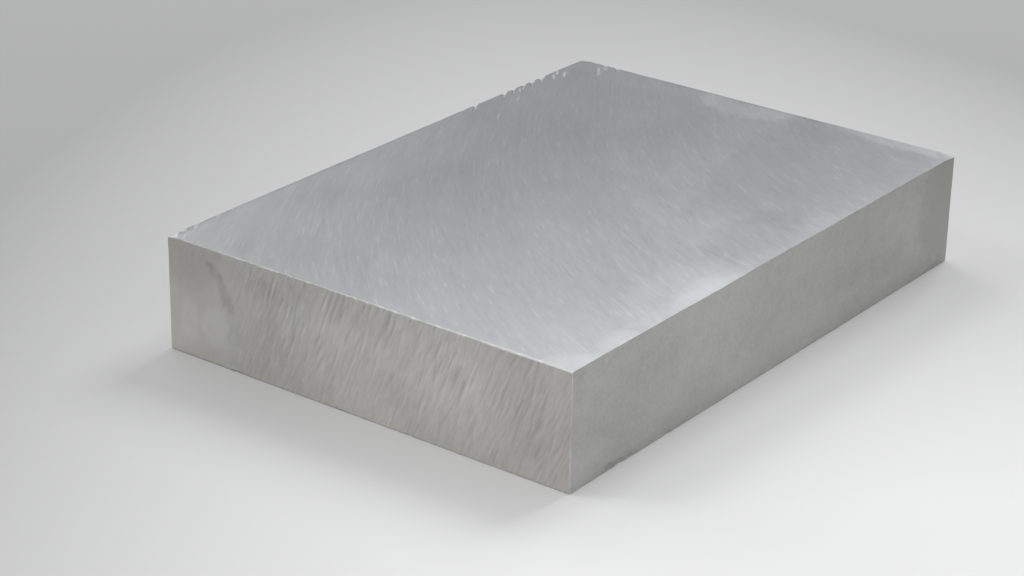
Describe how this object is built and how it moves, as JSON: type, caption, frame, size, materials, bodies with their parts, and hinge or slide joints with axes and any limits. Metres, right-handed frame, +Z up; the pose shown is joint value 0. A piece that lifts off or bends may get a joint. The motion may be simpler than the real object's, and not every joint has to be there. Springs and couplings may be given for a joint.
{
  "type": "aluminium offcut",
  "caption": "Heavy rectangular block of aluminium stock with sawn faces, filed arrises, small corner knocks and torn bites along one top edge.",
  "frame": {"origin": "middle of the underside", "axes": "+X along the long sides, +Y along the short ends towards the torn back arris, +Z up through the thickness"},
  "size_m": [0.1986, 0.1404, 0.035],
  "materials": {
    "sawn_aluminium": "bare sawn aluminium, dull, with arcs of saw marks on the top and slanted marks on the near end"
  },
  "bodies": {
    "root": {"offcut_block": "sawn_aluminium"}
  },
  "joints": []
}
